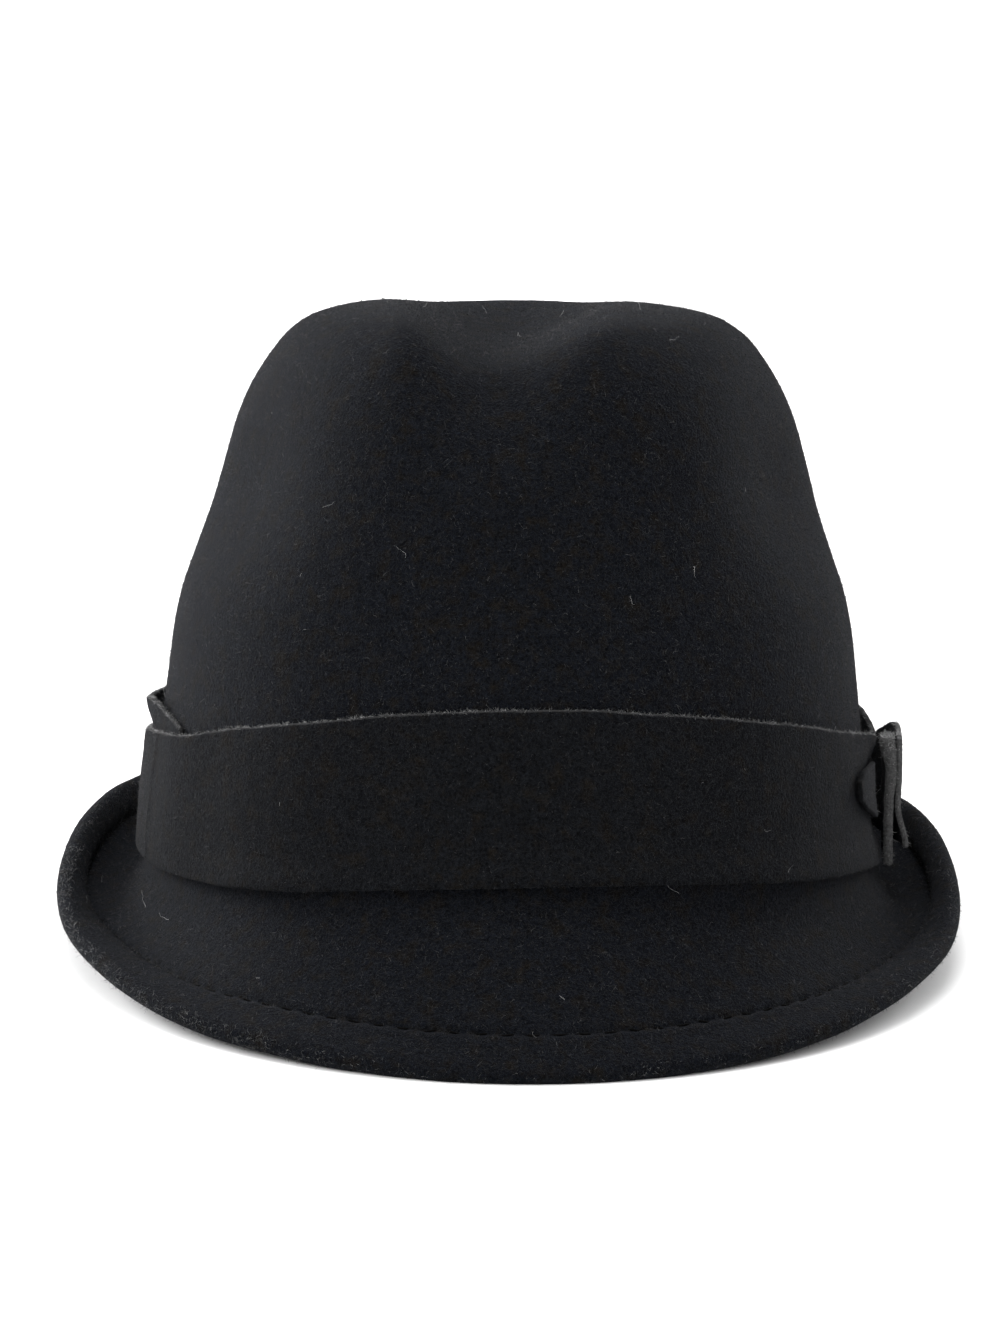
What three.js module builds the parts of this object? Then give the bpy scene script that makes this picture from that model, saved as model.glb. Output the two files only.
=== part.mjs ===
// A plain felt hat: one blocked body of felt (tapered crown with a teardrop dent, short brim snapped
// down in front and curled up behind, edge turned under), a wide raw-edged felt band in two strips,
// and a flat felt bow: a strap that lies on the band under a standing tab of two leaves. The hat lies
// on a floor on its front brim edge and on the back of its brim. Millimetres, +Z up, the front faces
// -Y, the origin is on the floor under the middle of the hat.
import * as THREE from 'three';

// Driving dimensions
const FELT = 2.4; // body felt
const HEM = 4.6; // body felt folded on itself along the brim's edge
const HEM_LAP = 0.8; // how far the turned edge reaches past its stitches
const BAND_FELT = 1.4;
const CLEAR = 0.35; // air between two pieces that lie on each other
const FILLET = 4; // height of the turn from the crown's wall to the brim
const TURN_OUT = 0.4; // how far the turn's corner lies outside the wall
const LEVEL_SHARE = 0.5; // share of the brim's width over which it runs level into the seam
const HEM_SWELL = 0.4; // puff of the turned edge between its stitches and its fold
const REST_TILT = 7.5; // degrees that the crown leans back as the hat lies
const FLATTEN = 0.9; // depth over which the felt is pressed flat on the floor
const OVAL = 2.15; // exponent of the crown's oval outline, whose long way is front to back
const BLACK_FELT = 0x1b1c1f;

// How finely the felt is divided
const SEGMENTS = 64; // around the hat
const TURN_STEPS = 7; // rings from the wall to the seam
const HEM_STEPS = 4; // rings from the seam to the fold
const UNDER_STEPS = 3; // rings from the fold back to the seam, underneath
const FOLD_ANGLES = [30, 60, 90, 120, 150];
const BAND_ROWS = 5; // up a strip
const BAND_STEP = 6; // degrees along the band
const STRAP_STEP = 3; // degrees along the bow's strap
const TAB_STEP = 2.4; // degrees along the bow's tab

// Crown sections from the foot to the middle of the top: height, and half-widths at the sides, the
// front and the back.
const CROWN = [
  { z: 8, side: 84.8, front: 102.0, back: 103.2 },
  { z: 14, side: 84.3, front: 101.2, back: 102.4 },
  { z: 20, side: 83.7, front: 100.4, back: 101.6 },
  { z: 32, side: 82.4, front: 98.6, back: 99.8 },
  { z: 42, side: 81.3, front: 96.8, back: 98.0 },
  { z: 51, side: 80.2, front: 94.8, back: 96.2 },
  { z: 60, side: 78.3, front: 92.6, back: 94.2 },
  { z: 70, side: 75.0, front: 90.2, back: 91.8 },
  { z: 80, side: 71.8, front: 87.8, back: 89.0 },
  { z: 90, side: 69.2, front: 85.2, back: 85.8 },
  { z: 100, side: 66.2, front: 82.0, back: 82.0 },
  { z: 108, side: 62.6, front: 78.6, back: 77.6 },
  { z: 115, side: 58.2, front: 74.0, back: 72.0 },
  { z: 120, side: 54.1, front: 69.0, back: 66.4 },
  { z: 123.6, side: 48.9, front: 62.5, back: 59.6 },
  { z: 125.4, side: 43.4, front: 55.0, back: 52.4 },
  { z: 126.5, side: 36.8, front: 46.0, back: 44.0 },
  { z: 127.2, side: 29.0, front: 36.0, back: 34.5 },
  { z: 127.7, side: 20.5, front: 25.0, back: 24.0 },
  { z: 127.9, side: 10.5, front: 12.5, back: 12.0 },
];
const CROWN_TOP = 128;
const FOOT = { z: -8, side: 85.6, front: 103.4, back: 104.6 };
const WALL_TOP = 115; // the crown's wall turns over to the top from here

// The teardrop dent in the top runs front to back: place along Y, depth, where its floor lies along X,
// and how wide it is to the left and right of that.
const DENT = [
  { y: -92, depth: 9.5, x: -8, left: 20, right: 30 },
  { y: -72, depth: 11.0, x: -8, left: 20, right: 31 },
  { y: -48, depth: 11.0, x: -7, left: 22, right: 31 },
  { y: -20, depth: 10.5, x: -5, left: 26, right: 31 },
  { y: 12, depth: 9.0, x: -3, left: 29, right: 32 },
  { y: 34, depth: 5, x: -2, left: 30, right: 30 },
  { y: 52, depth: 0, x: -2, left: 27, right: 27 },
];
const DENT_FADE = { low: 84, high: 124 }; // heights between which its open front end fades out

// A shallow pinch on each side of the front: azimuth, height, spread and depth.
const PINCH = { azimuth: 57, z: 90, spreadAzimuth: 20, spreadZ: 20, depth: 4.5 };

// The bow draws the felt and the band in under it: azimuth, height, reach either way and depth.
const CINCH = { azimuth: 88, z: 14, reachAzimuth: 24, reachZ: 17, depth: 1.8 };

// The brim by azimuth from the front: height of the turn's corner, radius and height of the seam that
// holds the turned edge, and radius and height of the edge itself. Both sides of the hat are alike.
const BRIM = [
  { azimuth: 0, corner: -1.6, seamR: 122.0, seamZ: -27.5, edgeR: 130.5, edgeZ: -37.0 },
  { azimuth: 30, corner: -5.6, seamR: 115.0, seamZ: -24.6, edgeR: 125.8, edgeZ: -31.6 },
  { azimuth: 60, corner: -7.0, seamR: 102.5, seamZ: -19.5, edgeR: 115.0, edgeZ: -18.4 },
  { azimuth: 90, corner: -7.3, seamR: 100.7, seamZ: -12.5, edgeR: 104.6, edgeZ: -3.8 },
  { azimuth: 120, corner: -7.0, seamR: 105.0, seamZ: -2.2, edgeR: 107.6, edgeZ: 5.6 },
  { azimuth: 150, corner: -6.5, seamR: 110.0, seamZ: -0.6, edgeR: 113.6, edgeZ: 9.4 },
  { azimuth: 180, corner: -6.0, seamR: 112.0, seamZ: -1.2, edgeR: 117.0, edgeZ: 8.6 },
];

// The band in front: azimuth, lower and upper edge, how far it stands off the crown, and how much
// farther its edges lean out.
const FRONT_BAND = [
  { azimuth: -97, low: -1.4, high: 24.2, off: 2.2, lowOut: 0, highOut: 0 },
  { azimuth: -86, low: -1.8, high: 25.0, off: 2.2, lowOut: 0, highOut: 0 },
  { azimuth: -74, low: -2.2, high: 26.8, off: 2.2, lowOut: 0, highOut: 0 },
  { azimuth: -64, low: -2.6, high: 27.6, off: 2.2, lowOut: 0, highOut: 0 },
  { azimuth: -56, low: -2.8, high: 28.6, off: 2.1, lowOut: 0, highOut: 0 },
  { azimuth: -46, low: -3.0, high: 31.4, off: 0.6, lowOut: 0.6, highOut: 0 },
  { azimuth: -38, low: -2.6, high: 33.6, off: CLEAR, lowOut: 0.8, highOut: 0 },
  { azimuth: -28, low: -1.4, high: 36.0, off: CLEAR, lowOut: 0.9, highOut: 0 },
  { azimuth: -14, low: 0.9, high: 39.4, off: CLEAR, lowOut: 0.9, highOut: 0 },
  { azimuth: 0, low: 2.2, high: 41.0, off: CLEAR, lowOut: 0.9, highOut: 0 },
  { azimuth: 12, low: 2.8, high: 41.0, off: CLEAR, lowOut: 0.9, highOut: 0 },
  { azimuth: 28, low: 2.0, high: 38.6, off: CLEAR, lowOut: 0.9, highOut: 0 },
  { azimuth: 44, low: 0.1, high: 35.2, off: CLEAR, lowOut: 0.9, highOut: 0 },
  { azimuth: 58, low: -0.8, high: 31.8, off: CLEAR, lowOut: 0.9, highOut: 0 },
  { azimuth: 68, low: -1.8, high: 29.8, off: CLEAR, lowOut: 0.9, highOut: 0 },
  { azimuth: 76, low: -2.6, high: 28.4, off: 0.4, lowOut: 1.0, highOut: 1.0 },
  { azimuth: 82, low: -3.2, high: 26.8, off: 0.5, lowOut: 1.3, highOut: 2.0 },
  { azimuth: 87, low: -3.2, high: 23.6, off: 0.5, lowOut: 1.3, highOut: 0.8 },
];
// The band behind. Its far end is tucked under the front strip and cut on a slant, and its top leans
// out over the front strip there.
const REAR_BAND = [
  { azimuth: 89, low: -2.8, high: 25.8, off: 0.6, highOut: 2.0 },
  { azimuth: 95, low: -2.8, high: 27.4, off: 0.5, highOut: 2.0 },
  { azimuth: 101, low: -2.8, high: 30.0, off: 0.4, highOut: 1.2 },
  { azimuth: 109, low: -2.8, high: 31.6, off: CLEAR, highOut: 0.4 },
  { azimuth: 125, low: -2.4, high: 33.4, off: CLEAR, highOut: 0 },
  { azimuth: 150, low: -2.0, high: 33.0, off: CLEAR, highOut: 0 },
  { azimuth: 180, low: -1.6, high: 32.6, off: CLEAR, highOut: 0 },
  { azimuth: 210, low: -2.0, high: 33.0, off: CLEAR, highOut: 0 },
  { azimuth: 235, low: -2.2, high: 33.2, off: CLEAR, highOut: 0 },
  { azimuth: 256, low: -1.0, high: 32.0, off: CLEAR, highOut: 1.4 },
  { azimuth: 270, low: 0.4, high: 32.2, off: CLEAR, highOut: 2.7 },
  { azimuth: 283, low: 2.0, high: 33.4, off: CLEAR, highOut: 1.8 },
  { azimuth: 293, low: 4.0, high: 31.8, off: CLEAR, highOut: 0.4 },
  { azimuth: 301, low: 8.0, high: 29.6, off: CLEAR, highOut: 0 },
];
const LEAN_LOW = 10; // height over which a lower edge leans in or out
const LEAN_HIGH = 8; // and an upper edge

// The bow's strap passes under the tab; both ends are rounded and lie on the band.
const STRAP_OFF = BAND_FELT + 2.8 * CLEAR;
const STRAP = [
  { azimuth: 62, low: 15.4, high: 19.6 },
  { azimuth: 65, low: 13.0, high: 21.4 },
  { azimuth: 71, low: 10.4, high: 21.8 },
  { azimuth: 78, low: 8.4, high: 21.4 },
  { azimuth: 86, low: 8.0, high: 19.8 },
  { azimuth: 94, low: 8.0, high: 19.8 },
  { azimuth: 104, low: 8.0, high: 20.6 },
  { azimuth: 114, low: 8.6, high: 21.4 },
  { azimuth: 119, low: 11.0, high: 19.8 },
  { azimuth: 121, low: 13.4, high: 17.6 },
].map((row) => ({ ...row, off: STRAP_OFF }));
// The tab's leaves stand upright side by side, clear of the band. The inner one is folded and pressed;
// the outer one parts from it at the foot in front, and bends in to the band behind.
const TAB_FOLDED = 1.6 * BAND_FELT;
const TAB_FOOT = 8; // height of the crown that the leaves are set off from
const TAB_INNER = [
  { azimuth: 83.5, low: -4.2, high: 26.2, off: 4.0, lowOut: 0.2, highOut: -1.3 },
  { azimuth: 88, low: -3.4, high: 26.0, off: 4.0, lowOut: 0.4, highOut: -1.0 },
  { azimuth: 93, low: -2.4, high: 25.6, off: 3.9, lowOut: 0.4, highOut: -0.6 },
];
const TAB_OUTER = [
  { azimuth: 83.5, low: 0.2, high: 26.0, off: 6.6, lowOut: 2.1 },
  { azimuth: 88, low: 0.2, high: 26.6, off: 6.65, lowOut: 1.4 },
  { azimuth: 92, low: 0.2, high: 27.8, off: 6.65, lowOut: 0.5 },
  { azimuth: 97, low: 0.2, high: 27.6, off: 6.2, lowOut: 0 },
  { azimuth: 102, low: 0.6, high: 25.4, off: 5.0, lowOut: 0 },
  { azimuth: 107, low: 1.2, high: 22.8, off: 4.2, lowOut: 0 },
];

const rad = THREE.MathUtils.degToRad;

// Value of a column of a table at x, on a smooth curve through its rows.
function along(rows, key, x, column) {
  const last = rows.length - 1;
  let i = 0;
  while (i < last - 1 && rows[i + 1][key] < x) i += 1;
  const [x0, x1] = [rows[i][key], rows[i + 1][key]];
  const t = THREE.MathUtils.clamp((x - x0) / (x1 - x0), 0, 1);
  const [y0, y1] = [rows[i][column], rows[i + 1][column]];
  const slope = (a, b) => (rows[b][column] - rows[a][column]) / (rows[b][key] - rows[a][key]);
  const m0 = i > 0 ? slope(i - 1, i + 1) : slope(i, i + 1);
  const m1 = i + 2 <= last ? slope(i, i + 2) : slope(i, i + 1);
  const h = x1 - x0;
  const t2 = t * t;
  const t3 = t2 * t;
  return (
    (2 * t3 - 3 * t2 + 1) * y0 + (t3 - 2 * t2 + t) * h * m0 + (3 * t2 - 2 * t3) * y1 + (t3 - t2) * h * m1
  );
}

// The brim's table holds one side; a row at each end lets the curve run through front and back level.
const BRIM_AROUND = [{ ...BRIM[1], azimuth: -30 }, ...BRIM, { ...BRIM[5], azimuth: 210 }];

function brimAt(azimuth, column) {
  const side = Math.abs(THREE.MathUtils.euclideanModulo(azimuth + 180, 360) - 180);
  return along(BRIM_AROUND, 'azimuth', side, column);
}

// Point of an oval at an azimuth, where 0 is the front and 90 the wearer's left.
function ovalPoint(azimuth, section, z) {
  const s = Math.sin(rad(azimuth));
  const c = Math.cos(rad(azimuth));
  const half = c >= 0 ? section.front : section.back;
  const r = (Math.abs(s / section.side) ** OVAL + Math.abs(c / half) ** OVAL) ** (-1 / OVAL);
  return new THREE.Vector3(r * s, -r * c, z);
}

// Section of the crown's wall at a height, without its dents.
const WALL = [FOOT, ...CROWN.filter((row) => row.z <= WALL_TOP)];

function wallSection(z) {
  const side = along(WALL, 'z', z, 'side');
  const front = along(WALL, 'z', z, 'front');
  const back = along(WALL, 'z', z, 'back');
  return { side, front, back };
}

// How deep the bow draws the felt in.
function cinched(azimuth, z) {
  const bump = (share) => 0.5 * (1 + Math.cos(Math.PI * Math.min(1, Math.abs(share))));
  const aside = THREE.MathUtils.euclideanModulo(azimuth - CINCH.azimuth + 180, 360) - 180;
  return CINCH.depth * bump(aside / CINCH.reachAzimuth) * bump((z - CINCH.z) / CINCH.reachZ);
}

// How deep the felt is pushed in at a point of the crown.
function pushedIn(p, azimuth) {
  const y = THREE.MathUtils.clamp(p.y, DENT[0].y, DENT[DENT.length - 1].y);
  const [depth, middle, left, right] = ['depth', 'x', 'left', 'right'].map((c) => along(DENT, 'y', y, c));
  const across = Math.min(1, Math.max((middle - p.x) / left, (p.x - middle) / right));
  const open = THREE.MathUtils.smoothstep(p.z, DENT_FADE.low, DENT_FADE.high);
  const dent = depth * 0.5 * (1 + Math.cos(Math.PI * across)) * open;
  const side = Math.abs(THREE.MathUtils.euclideanModulo(azimuth + 180, 360) - 180);
  const u = (side - PINCH.azimuth) / PINCH.spreadAzimuth;
  const v = (p.z - PINCH.z) / PINCH.spreadZ;
  return dent + PINCH.depth * Math.exp(-u * u - v * v) + cinched(azimuth, p.z);
}

// Rings of points around the hat, and the outward normals of the grid that they form.
const azimuths = Array.from({ length: SEGMENTS }, (_, i) => (360 * i) / SEGMENTS);

function gridNormals(rings, pole) {
  return rings.map((ring, k) =>
    ring.map((p, i) => {
      const next = ring[(i + 1) % SEGMENTS];
      const before = ring[(i + SEGMENTS - 1) % SEGMENTS];
      const above = k + 1 < rings.length ? rings[k + 1][i] : pole;
      const below = k > 0 ? rings[k - 1][i] : p;
      const around = new THREE.Vector3().subVectors(next, before);
      return new THREE.Vector3().subVectors(above, below).cross(around).negate().normalize();
    }),
  );
}

// Outer face of the crown, from the wall's foot to the middle of the top.
function crownRings() {
  const foot = azimuths.map((a) => {
    const z = brimAt(a, 'corner') + FILLET;
    return ovalPoint(a, wallSection(z), z);
  });
  const plain = [foot, ...CROWN.map((row) => azimuths.map((a) => ovalPoint(a, row, row.z)))];
  const pole = new THREE.Vector3(0, 0, CROWN_TOP);
  const normals = gridNormals(plain, pole);
  const rings = plain.map((ring, k) =>
    ring.map((p, i) => p.clone().addScaledVector(normals[k][i], -pushedIn(p, azimuths[i]))),
  );
  pole.z -= pushedIn(pole, 0);
  return { rings, pole };
}

// Brim in the upright plane through the hat's middle at one azimuth: x is the radius and y the height.
function brimSection(azimuth) {
  const at = (column) => brimAt(azimuth, column);
  const corner = at('corner');
  const foot = ovalPoint(azimuth, wallSection(corner + FILLET), corner + FILLET);
  const wall = new THREE.Vector2(Math.hypot(foot.x, foot.y), foot.z);
  const turn = new THREE.Vector2(wall.x + TURN_OUT, corner);
  const seam = new THREE.Vector2(at('seamR'), at('seamZ'));
  const edge = new THREE.Vector2(at('edgeR'), at('edgeZ'));
  const inward = new THREE.Vector2().subVectors(seam, turn);
  const reach = inward.length();
  const onward = new THREE.Vector2().subVectors(edge, seam).normalize();
  const lie = inward.clone().normalize().add(onward).normalize();
  const before = seam.clone().addScaledVector(lie, -LEVEL_SHARE * reach);
  const bend = new THREE.CubicBezierCurve(wall, turn, before, seam);
  const up = (t) => new THREE.Vector2(-t.y, t.x);
  const round = HEM / 2;
  const heart = seam.clone().addScaledVector(up(lie), -round);
  const outward = new THREE.Vector2().subVectors(edge, heart).normalize();
  const top = [];
  const under = [];
  for (let i = 1; i <= TURN_STEPS; i += 1) {
    const t = i / TURN_STEPS;
    const tangent = bend.getTangent(t);
    top.push(bend.getPoint(t));
    under.push(bend.getPoint(t).addScaledVector(up(tangent), -FELT));
  }
  const seamUp = up(lie);
  const lap = seam.clone().addScaledVector(lie, -HEM_LAP);
  under[TURN_STEPS - 1] = lap.clone().addScaledVector(seamUp, -FELT);
  under.push(lap.clone().addScaledVector(seamUp, -HEM));
  const centre = edge.clone().addScaledVector(outward, -round);
  const edgeUp = up(outward);
  const rim = centre.clone().addScaledVector(edgeUp, round);
  const swell = rim.clone().addScaledVector(outward, -0.5 * seam.distanceTo(rim));
  swell.addScaledVector(edgeUp, HEM_SWELL);
  const hem = new THREE.QuadraticBezierCurve(seam, swell, rim);
  for (let i = 1; i <= HEM_STEPS; i += 1) top.push(hem.getPoint(i / HEM_STEPS));
  for (const angle of FOLD_ANGLES) {
    const part = centre.clone().addScaledVector(edgeUp, round * Math.cos(rad(angle)));
    top.push(part.addScaledVector(outward, round * Math.sin(rad(angle))));
  }
  const heel = centre.clone().addScaledVector(edgeUp, -round);
  const deep = under[under.length - 1];
  const middle = seam.clone().add(edge).multiplyScalar(0.5).addScaledVector(edgeUp, -HEM);
  const hemUnder = new THREE.QuadraticBezierCurve(heel, middle, deep);
  const back = Array.from({ length: UNDER_STEPS }, (_, i) => hemUnder.getPoint(i / UNDER_STEPS));
  return [...top, ...back, ...under.reverse()];
}

// Closed skin over rings of points, with a pole at either end.
function skin(rings, firstPole, lastPole) {
  const count = rings[0].length;
  const points = [...rings.flat(), firstPole, lastPole];
  const index = [];
  const at = (k, i) => k * count + (i % count);
  for (let i = 0; i < count; i += 1) {
    index.push(points.length - 2, at(0, i), at(0, i + 1));
    index.push(points.length - 1, at(rings.length - 1, i + 1), at(rings.length - 1, i));
    for (let k = 0; k + 1 < rings.length; k += 1) {
      index.push(at(k, i), at(k + 1, i), at(k + 1, i + 1));
      index.push(at(k, i), at(k + 1, i + 1), at(k, i + 1));
    }
  }
  return solid(points, index);
}

function solid(points, index) {
  const geometry = new THREE.BufferGeometry().setFromPoints(points);
  geometry.setIndex(index);
  geometry.computeVertexNormals();
  return geometry;
}

// The floor as seen from the hat, and the felt pressed flat where it meets the floor.
const floorUp = new THREE.Vector3(0, 0, 1).applyAxisAngle(new THREE.Vector3(1, 0, 0), rad(REST_TILT));

function pressFlat(points, floor) {
  for (const p of points) {
    const height = p.dot(floorUp) - floor;
    if (height < 0) p.addScaledVector(floorUp, -height);
  }
}

function feltBody() {
  const crown = crownRings();
  const normals = gridNormals(crown.rings, crown.pole);
  const inside = crown.rings.map((ring, k) =>
    ring.map((p, i) => p.clone().addScaledVector(normals[k][i], -FELT)),
  );
  const insidePole = crown.pole.clone();
  insidePole.z -= FELT;
  const sections = azimuths.map(brimSection);
  const brim = sections[0].map((_, k) =>
    azimuths.map((a, i) => {
      const q = sections[i][k];
      return new THREE.Vector3(q.x * Math.sin(rad(a)), -q.x * Math.cos(rad(a)), q.y);
    }),
  );
  const rings = [...crown.rings.toReversed(), ...brim, ...inside];
  const points = rings.flat();
  const floor = Math.min(...points.map((p) => p.dot(floorUp))) + FLATTEN;
  pressFlat(points, floor);
  return { geometry: skin(rings, crown.pole, insidePole), floor };
}

// Point at a distance out from the crown's wall.
function standOff(azimuth, z, distance) {
  const p = ovalPoint(azimuth, wallSection(z), z);
  const r = Math.hypot(p.x, p.y);
  p.x *= 1 + distance / r;
  p.y *= 1 + distance / r;
  return p;
}

// A strip of felt standing on edge around the crown. It follows the crown's slope, or stands upright
// where a height of the crown is named.
function strip(table, thickness, step, height) {
  const first = table[0].azimuth;
  const last = table[table.length - 1].azimuth;
  const count = Math.round((last - first) / step);
  const sections = [];
  for (let i = 0; i <= count; i += 1) {
    const a = first + ((last - first) * i) / count;
    const low = along(table, 'azimuth', a, 'low');
    const high = along(table, 'azimuth', a, 'high');
    const off = along(table, 'azimuth', a, 'off');
    const lowOut = 'lowOut' in table[0] ? along(table, 'azimuth', a, 'lowOut') : 0;
    const highOut = 'highOut' in table[0] ? along(table, 'azimuth', a, 'highOut') : 0;
    const section = [];
    for (const [from, to, layer] of [[low, high, thickness], [high, low, 0]]) {
      for (let k = 0; k <= BAND_ROWS; k += 1) {
        const z = from + ((to - from) * k) / BAND_ROWS;
        const leanLow = lowOut * (1 - THREE.MathUtils.smoothstep(z, low, low + LEAN_LOW));
        const leanHigh = highOut * THREE.MathUtils.smoothstep(z, high - LEAN_HIGH, high);
        const drawn = height === undefined ? cinched(a, z) : 0;
        const p = standOff(a, height ?? z, off + layer + leanLow + leanHigh - drawn);
        p.z = z;
        section.push(p);
      }
    }
    sections.push(section);
  }
  return tube(sections);
}

// Closed solid through sections of equal point count, with flat ends.
function tube(sections) {
  const count = sections[0].length;
  const points = sections.flat();
  const index = [];
  const at = (k, i) => k * count + (i % count);
  for (let k = 0; k + 1 < sections.length; k += 1) {
    for (let i = 0; i < count; i += 1) {
      index.push(at(k, i), at(k + 1, i), at(k + 1, i + 1));
      index.push(at(k, i), at(k + 1, i + 1), at(k, i + 1));
    }
  }
  const end = sections.length - 1;
  for (let i = 0; i < count / 2 - 1; i += 1) {
    const [a, b, c, d] = [i, i + 1, count - 2 - i, count - 1 - i];
    index.push(at(0, a), at(0, b), at(0, c), at(0, a), at(0, c), at(0, d));
    index.push(at(end, a), at(end, c), at(end, b), at(end, a), at(end, d), at(end, c));
  }
  return solid(points, index);
}

function felt(name, geometry) {
  const material = new THREE.MeshStandardMaterial({ color: BLACK_FELT, roughness: 0.95, metalness: 0 });
  const mesh = new THREE.Mesh(geometry, material);
  mesh.name = name;
  return mesh;
}

const body = feltBody();
const hat = new THREE.Group();
hat.add(felt('felt_body', body.geometry));
hat.add(felt('band_front', strip(FRONT_BAND, BAND_FELT, BAND_STEP)));
hat.add(felt('band_rear', strip(REAR_BAND, BAND_FELT, BAND_STEP)));
hat.add(felt('bow_strap', strip(STRAP, BAND_FELT, STRAP_STEP)));
hat.add(felt('tab_inner', strip(TAB_INNER, TAB_FOLDED, TAB_STEP, TAB_FOOT)));
hat.add(felt('tab_outer', strip(TAB_OUTER, BAND_FELT, TAB_STEP, TAB_FOOT)));

// The hat is turned to lie on the floor, and moved until the origin is under its middle.
hat.rotation.x = -rad(REST_TILT);
hat.updateMatrixWorld(true);
const box = new THREE.Box3().setFromObject(hat, true);
hat.position.set(-(box.min.x + box.max.x) / 2, -(box.min.y + box.max.y) / 2, -body.floor);

const scene = new THREE.Group();
scene.add(hat);
export default scene;
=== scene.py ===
"""A black felt hat on a pale floor: one blocked body of felt with a stitched, turned edge, a raw-edged felt
band in two strips and a flat felt bow. The shapes follow the CAD part's tables, in millimetres and in the
hat's own upright frame, and are placed and scaled to metres when a mesh is made. The front band's lower edge
and the top of the bow's inner leaf lean a little more here, and that leaf is thicker at its top."""

import math

import bpy
import numpy as np
from mathutils import Matrix, Vector, noise


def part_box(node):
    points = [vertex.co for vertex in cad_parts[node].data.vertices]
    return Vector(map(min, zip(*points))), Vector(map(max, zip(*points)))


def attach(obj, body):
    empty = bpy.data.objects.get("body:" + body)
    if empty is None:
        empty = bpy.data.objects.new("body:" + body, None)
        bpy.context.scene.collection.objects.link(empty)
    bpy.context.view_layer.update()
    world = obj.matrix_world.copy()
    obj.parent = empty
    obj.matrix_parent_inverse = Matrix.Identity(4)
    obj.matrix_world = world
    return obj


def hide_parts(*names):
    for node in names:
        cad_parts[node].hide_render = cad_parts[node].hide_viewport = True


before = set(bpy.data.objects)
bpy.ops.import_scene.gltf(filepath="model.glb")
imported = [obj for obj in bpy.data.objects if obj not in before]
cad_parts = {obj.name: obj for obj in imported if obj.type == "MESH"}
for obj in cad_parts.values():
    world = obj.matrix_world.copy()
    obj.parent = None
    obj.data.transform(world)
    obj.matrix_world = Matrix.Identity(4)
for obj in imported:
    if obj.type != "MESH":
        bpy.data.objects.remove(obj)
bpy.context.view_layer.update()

MM = 0.001


def table(columns, *rows):
    """A table as one array for each named column."""
    return dict(zip(columns.split(), np.array(rows, float).T))


# Felt thicknesses and the way the hat lies
FELT = 2.4
HEM = 4.6  # the turned edge of the brim
HEM_LAP = 0.8  # how far the turned felt reaches past the seam
BAND_FELT = 1.4
CLEAR = 0.35  # air left where pieces of the real hat touch
FILLET = 4.0
TURN_OUT = 0.4
LEVEL_SHARE = 0.5  # share of the brim's width in which it bends into the seam's direction
HEM_SWELL = 0.4
REST_TILT = math.radians(7.5)
OVAL = 2.15  # exponent of the crown's oval, where 2 is an ellipse

# The crown's half-widths by height, from its wall to the middle of its top
CROWN = table(
    "z side front back",
    (8, 84.8, 102.0, 103.2),
    (14, 84.3, 101.2, 102.4),
    (20, 83.7, 100.4, 101.6),
    (32, 82.4, 98.6, 99.8),
    (42, 81.3, 96.8, 98.0),
    (51, 80.2, 94.8, 96.2),
    (60, 78.3, 92.6, 94.2),
    (70, 75.0, 90.2, 91.8),
    (80, 71.8, 87.8, 89.0),
    (90, 69.2, 85.2, 85.8),
    (100, 66.2, 82.0, 82.0),
    (108, 62.6, 78.6, 77.6),
    (115, 58.2, 74.0, 72.0),
    (120, 54.1, 69.0, 66.4),
    (123.6, 48.9, 62.5, 59.6),
    (125.4, 43.4, 55.0, 52.4),
    (126.5, 36.8, 46.0, 44.0),
    (127.2, 29.0, 36.0, 34.5),
    (127.7, 20.5, 25.0, 24.0),
    (127.9, 10.5, 12.5, 12.0),
    (128, 0, 0, 0),
)
# The wall alone, down to where the brim turns out of it
WALL = table(
    "z side front back",
    (-8, 85.6, 103.4, 104.6),
    (8, 84.8, 102.0, 103.2),
    (14, 84.3, 101.2, 102.4),
    (20, 83.7, 100.4, 101.6),
    (32, 82.4, 98.6, 99.8),
    (42, 81.3, 96.8, 98.0),
    (51, 80.2, 94.8, 96.2),
    (60, 78.3, 92.6, 94.2),
)
# The dent in the top, along Y: depth, place across, and width to either side of it
DENT = table(
    "y depth x left right",
    (-92, 9.5, -8, 20, 30),
    (-72, 11.0, -8, 20, 31),
    (-48, 11.0, -7, 22, 31),
    (-20, 10.5, -5, 26, 31),
    (12, 9.0, -3, 29, 32),
    (34, 5, -2, 30, 30),
    (52, 0, -2, 27, 27),
)
DENT_FADE = (84, 124)
PINCH = {"azimuth": 57, "z": 90, "spread_azimuth": 20, "spread_z": 20, "depth": 4.5}
# How the bow draws the felt and the band in under it
CINCH = {"azimuth": 88, "z": 14, "reach_azimuth": 24, "reach_z": 17, "depth": 1.8}

# The brim by azimuth from the front, one side
BRIM = table(
    "azimuth corner seam_r seam_z edge_r edge_z",
    (-30, -5.6, 115.0, -24.6, 125.8, -31.6),
    (0, -1.6, 122.0, -27.5, 130.5, -37.0),
    (30, -5.6, 115.0, -24.6, 125.8, -31.6),
    (60, -7.0, 102.5, -19.5, 115.0, -18.4),
    (90, -7.3, 100.7, -12.5, 104.6, -3.8),
    (120, -7.0, 105.0, -2.2, 107.6, 5.6),
    (150, -6.5, 110.0, -0.6, 113.6, 9.4),
    (180, -6.0, 112.0, -1.2, 117.0, 8.6),
    (210, -6.5, 110.0, -0.6, 113.6, 9.4),
)

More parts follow.
